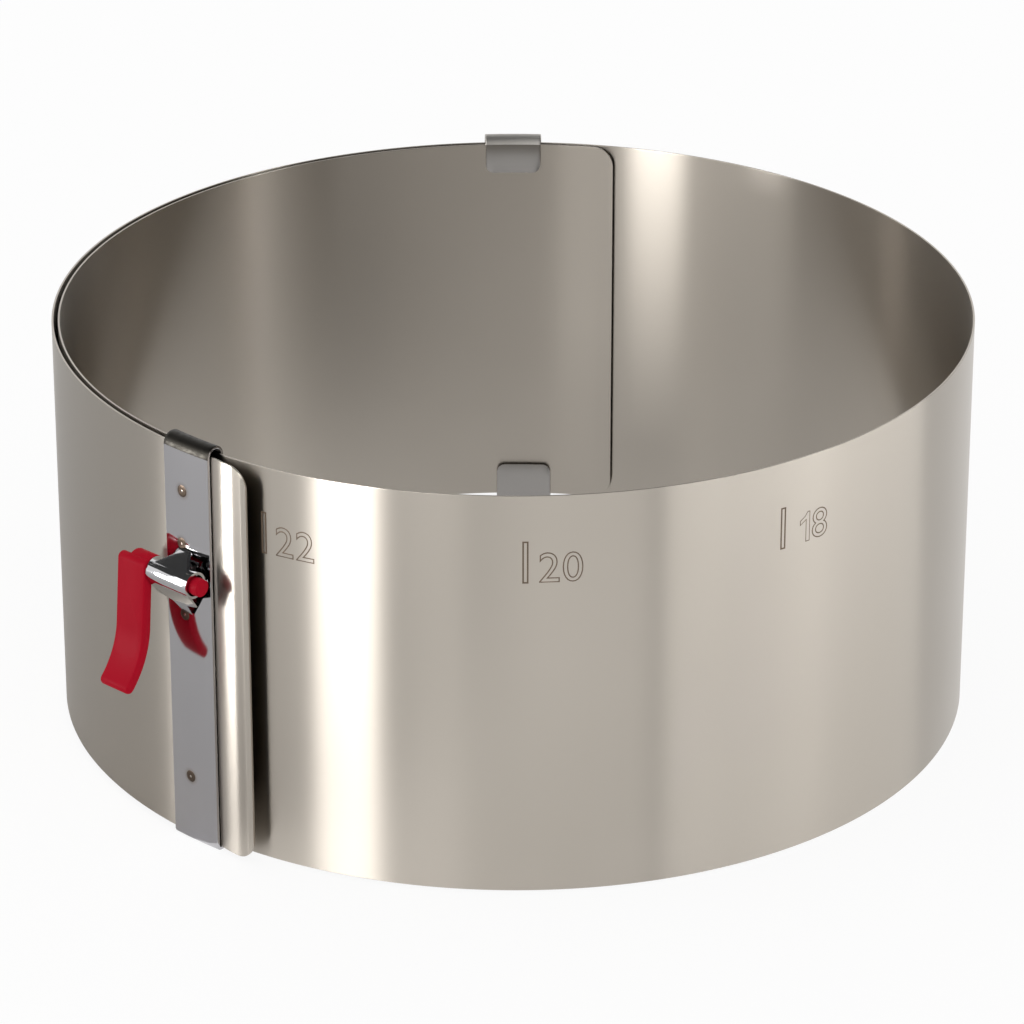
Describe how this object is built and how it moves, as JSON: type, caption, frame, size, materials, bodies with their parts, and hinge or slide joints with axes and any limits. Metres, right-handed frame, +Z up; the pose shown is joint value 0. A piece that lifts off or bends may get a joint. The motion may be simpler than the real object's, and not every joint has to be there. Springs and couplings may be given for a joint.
{
  "type": "adjustable cake ring",
  "caption": "Adjustable cake ring: an overlapping coiled steel band with a red lever clamp and guide clips; opens and closes to set the diameter.",
  "frame": {"origin": "ring axis, on the surface that the ring stands on", "axes": "+Z up along the ring axis, -Y to the front scale, clamp at the front left"},
  "size_m": [0.2225, 0.2231, 0.1034],
  "materials": {
    "band_steel": "satin rolled stainless steel",
    "strap_steel": "bright rolled stainless steel",
    "chrome": "polished chrome",
    "red_plastic": "moulded satin plastic"
  },
  "bodies": {
    "outer_end": {"band_panel_01": "band_steel", "clamp_strap": "strap_steel", "clamp_saddle": "chrome"},
    "lever": {"clamp_lever": "red_plastic"},
    "pad": {"clamp_pad": "strap_steel"},
    "band_02": {"band_panel_02": "band_steel"},
    "band_03": {"band_panel_03": "band_steel"},
    "band_04": {"band_panel_04": "band_steel"},
    "band_05": {"band_panel_05": "band_steel"},
    "band_06": {"band_panel_06": "band_steel"},
    "band_07": {"band_panel_07": "band_steel"},
    "band_08": {"band_panel_08": "band_steel"},
    "band_09": {"band_panel_09": "band_steel"},
    "band_10": {"band_panel_10": "band_steel"},
    "band_11": {"band_panel_11": "band_steel"},
    "band_12": {"band_panel_12": "band_steel"},
    "band_13": {"band_panel_13": "band_steel"},
    "band_14": {"band_panel_14": "band_steel"},
    "band_15": {"band_panel_15": "band_steel"},
    "band_16": {"band_panel_16": "band_steel"},
    "band_17": {"band_panel_17": "band_steel"},
    "band_18": {"band_panel_18": "band_steel"},
    "band_19": {"band_panel_19": "band_steel"},
    "band_20": {"band_panel_20": "band_steel"},
    "band_21": {"band_panel_21": "band_steel"},
    "band_22": {"band_panel_22": "band_steel"},
    "band_23": {"band_panel_23": "band_steel"},
    "band_24": {"band_panel_24": "band_steel"},
    "band_25": {"band_panel_25": "band_steel"},
    "band_26": {"band_panel_26": "band_steel"},
    "band_27": {"band_panel_27": "band_steel"},
    "band_28": {"band_panel_28": "band_steel"},
    "band_29": {"band_panel_29": "band_steel"},
    "band_30": {"band_panel_30": "band_steel"},
    "band_31": {"band_panel_31": "band_steel"},
    "inner_end": {"band_panel_32": "band_steel", "guide_clip_upper": "strap_steel", "guide_clip_lower": "strap_steel"}
  },
  "joints": [
    {"name": "lever_turn", "type": "hinge", "parent": "outer_end", "child": "lever", "pos_m": [-0.07785, -0.08798, 0.07035], "axis": [-0.7323, 0.681, 0], "range_deg": [0, 90]},
    {"name": "pad_press", "type": "slide", "parent": "outer_end", "child": "pad", "axis": [-0.681, -0.7323, 0], "range_m": [0, 0.0005]},
    {"name": "diameter_adjust", "type": "hinge", "parent": "outer_end", "child": "band_02", "pos_m": [-0.08333, -0.07467, 0.00105], "axis": [0, 0, 1], "range_deg": [-3.7, 4.15]},
    {"name": "band_bend_03", "type": "hinge", "parent": "band_02", "child": "band_03", "pos_m": [-0.10047, -0.04859, 0.00105], "axis": [0, 0, 1], "range_deg": [-3.71, 4.16]},
    {"name": "band_bend_04", "type": "hinge", "parent": "band_03", "child": "band_04", "pos_m": [-0.10999, -0.01888, 0.00105], "axis": [0, 0, 1], "range_deg": [-3.71, 4.17]},
    {"name": "band_bend_05", "type": "hinge", "parent": "band_04", "child": "band_05", "pos_m": [-0.1109, 0.0123, 0.00105], "axis": [0, 0, 1], "range_deg": [-3.72, 4.17]},
    {"name": "band_bend_06", "type": "hinge", "parent": "band_05", "child": "band_06", "pos_m": [-0.10312, 0.04252, 0.00105], "axis": [0, 0, 1], "range_deg": [-3.73, 4.18]},
    {"name": "band_bend_07", "type": "hinge", "parent": "band_06", "child": "band_07", "pos_m": [-0.08727, 0.06939, 0.00105], "axis": [0, 0, 1], "range_deg": [-3.73, 4.19]},
    {"name": "band_bend_08", "type": "hinge", "parent": "band_07", "child": "band_08", "pos_m": [-0.06458, 0.0908, 0.00105], "axis": [0, 0, 1], "range_deg": [-3.74, 4.19]},
    {"name": "band_bend_09", "type": "hinge", "parent": "band_08", "child": "band_09", "pos_m": [-0.03684, 0.10506, 0.00105], "axis": [0, 0, 1], "range_deg": [-3.74, 4.2]},
    {"name": "band_bend_10", "type": "hinge", "parent": "band_09", "child": "band_10", "pos_m": [-0.00622, 0.11105, 0.00105], "axis": [0, 0, 1], "range_deg": [-3.75, 4.2]},
    {"name": "band_bend_11", "type": "hinge", "parent": "band_10", "child": "band_11", "pos_m": [0.02485, 0.10828, 0.00105], "axis": [0, 0, 1], "range_deg": [-3.75, 4.21]},
    {"name": "band_bend_12", "type": "hinge", "parent": "band_11", "child": "band_12", "pos_m": [0.05393, 0.09698, 0.00105], "axis": [0, 0, 1], "range_deg": [-3.76, 4.22]},
    {"name": "band_bend_13", "type": "hinge", "parent": "band_12", "child": "band_13", "pos_m": [0.07871, 0.07803, 0.00105], "axis": [0, 0, 1], "range_deg": [-3.76, 4.22]},
    {"name": "band_bend_14", "type": "hinge", "parent": "band_13", "child": "band_14", "pos_m": [0.09722, 0.05292, 0.00105], "axis": [0, 0, 1], "range_deg": [-3.77, 4.23]},
    {"name": "band_bend_15", "type": "hinge", "parent": "band_14", "child": "band_15", "pos_m": [0.108, 0.02364, 0.00105], "axis": [0, 0, 1], "range_deg": [-3.78, 4.24]},
    {"name": "band_bend_16", "type": "hinge", "parent": "band_15", "child": "band_16", "pos_m": [0.11018, -0.00747, 0.00105], "axis": [0, 0, 1], "range_deg": [-3.78, 4.24]},
    {"name": "band_bend_17", "type": "hinge", "parent": "band_16", "child": "band_17", "pos_m": [0.1036, -0.03797, 0.00105], "axis": [0, 0, 1], "range_deg": [-3.79, 4.25]},
    {"name": "band_bend_18", "type": "hinge", "parent": "band_17", "child": "band_18", "pos_m": [0.08875, -0.0654, 0.00105], "axis": [0, 0, 1], "range_deg": [-3.79, 4.25]},
    {"name": "band_bend_19", "type": "hinge", "parent": "band_18", "child": "band_19", "pos_m": [0.06683, -0.0876, 0.00105], "axis": [0, 0, 1], "range_deg": [-3.8, 4.26]},
    {"name": "band_bend_20", "type": "hinge", "parent": "band_19", "child": "band_20", "pos_m": [0.03958, -0.10278, 0.00105], "axis": [0, 0, 1], "range_deg": [-3.8, 4.27]},
    {"name": "band_bend_21", "type": "hinge", "parent": "band_20", "child": "band_21", "pos_m": [0.00916, -0.10973, 0.00105], "axis": [0, 0, 1], "range_deg": [-3.81, 4.27]},
    {"name": "band_bend_22", "type": "hinge", "parent": "band_21", "child": "band_22", "pos_m": [-0.02198, -0.10788, 0.00105], "axis": [0, 0, 1], "range_deg": [-3.81, 4.28]},
    {"name": "band_bend_23", "type": "hinge", "parent": "band_22", "child": "band_23", "pos_m": [-0.05135, -0.09738, 0.00105], "axis": [0, 0, 1], "range_deg": [-3.82, 4.29]},
    {"name": "band_bend_24", "type": "hinge", "parent": "band_23", "child": "band_24", "pos_m": [-0.07661, -0.07907, 0.00105], "axis": [0, 0, 1], "range_deg": [-3.83, 4.29]},
    {"name": "band_bend_25", "type": "hinge", "parent": "band_24", "child": "band_25", "pos_m": [-0.09571, -0.05441, 0.00105], "axis": [0, 0, 1], "range_deg": [-3.83, 4.3]},
    {"name": "band_bend_26", "type": "hinge", "parent": "band_25", "child": "band_26", "pos_m": [-0.10713, -0.02539, 0.00105], "axis": [0, 0, 1], "range_deg": [-3.84, 4.3]},
    {"name": "band_bend_27", "type": "hinge", "parent": "band_26", "child": "band_27", "pos_m": [-0.10994, 0.00568, 0.00105], "axis": [0, 0, 1], "range_deg": [-3.84, 4.31]},
    {"name": "band_bend_28", "type": "hinge", "parent": "band_27", "child": "band_28", "pos_m": [-0.1039, 0.03629, 0.00105], "axis": [0, 0, 1], "range_deg": [-3.85, 4.32]},
    {"name": "band_bend_29", "type": "hinge", "parent": "band_28", "child": "band_29", "pos_m": [-0.0895, 0.06396, 0.00105], "axis": [0, 0, 1], "range_deg": [-3.85, 4.32]},
    {"name": "band_bend_30", "type": "hinge", "parent": "band_29", "child": "band_30", "pos_m": [-0.0679, 0.08646, 0.00105], "axis": [0, 0, 1], "range_deg": [-3.86, 4.33]},
    {"name": "band_bend_31", "type": "hinge", "parent": "band_30", "child": "band_31", "pos_m": [-0.04083, 0.10197, 0.00105], "axis": [0, 0, 1], "range_deg": [-3.86, 4.33]},
    {"name": "band_bend_32", "type": "hinge", "parent": "band_31", "child": "inner_end", "pos_m": [-0.0105, 0.10924, 0.00105], "axis": [0, 0, 1], "range_deg": [-4.17, 4.68]}
  ],
  "couplings": [
    {"joint": "pad_press", "follows": "lever_turn", "m_per_rad": 0.00031828},
    {"joint": "band_bend_03", "follows": "diameter_adjust", "ratio": 1.0015},
    {"joint": "band_bend_04", "follows": "diameter_adjust", "ratio": 1.003},
    {"joint": "band_bend_05", "follows": "diameter_adjust", "ratio": 1.0045},
    {"joint": "band_bend_06", "follows": "diameter_adjust", "ratio": 1.006},
    {"joint": "band_bend_07", "follows": "diameter_adjust", "ratio": 1.0075},
    {"joint": "band_bend_08", "follows": "diameter_adjust", "ratio": 1.009},
    {"joint": "band_bend_09", "follows": "diameter_adjust", "ratio": 1.0105},
    {"joint": "band_bend_10", "follows": "diameter_adjust", "ratio": 1.012},
    {"joint": "band_bend_11", "follows": "diameter_adjust", "ratio": 1.0135},
    {"joint": "band_bend_12", "follows": "diameter_adjust", "ratio": 1.015},
    {"joint": "band_bend_13", "follows": "diameter_adjust", "ratio": 1.0165},
    {"joint": "band_bend_14", "follows": "diameter_adjust", "ratio": 1.018},
    {"joint": "band_bend_15", "follows": "diameter_adjust", "ratio": 1.0195},
    {"joint": "band_bend_16", "follows": "diameter_adjust", "ratio": 1.021},
    {"joint": "band_bend_17", "follows": "diameter_adjust", "ratio": 1.0225},
    {"joint": "band_bend_18", "follows": "diameter_adjust", "ratio": 1.024},
    {"joint": "band_bend_19", "follows": "diameter_adjust", "ratio": 1.0255},
    {"joint": "band_bend_20", "follows": "diameter_adjust", "ratio": 1.027},
    {"joint": "band_bend_21", "follows": "diameter_adjust", "ratio": 1.0285},
    {"joint": "band_bend_22", "follows": "diameter_adjust", "ratio": 1.03},
    {"joint": "band_bend_23", "follows": "diameter_adjust", "ratio": 1.0315},
    {"joint": "band_bend_24", "follows": "diameter_adjust", "ratio": 1.033},
    {"joint": "band_bend_25", "follows": "diameter_adjust", "ratio": 1.0345},
    {"joint": "band_bend_26", "follows": "diameter_adjust", "ratio": 1.036},
    {"joint": "band_bend_27", "follows": "diameter_adjust", "ratio": 1.0375},
    {"joint": "band_bend_28", "follows": "diameter_adjust", "ratio": 1.039},
    {"joint": "band_bend_29", "follows": "diameter_adjust", "ratio": 1.0405},
    {"joint": "band_bend_30", "follows": "diameter_adjust", "ratio": 1.042},
    {"joint": "band_bend_31", "follows": "diameter_adjust", "ratio": 1.0435},
    {"joint": "band_bend_32", "follows": "diameter_adjust", "ratio": 1.1268}
  ]
}
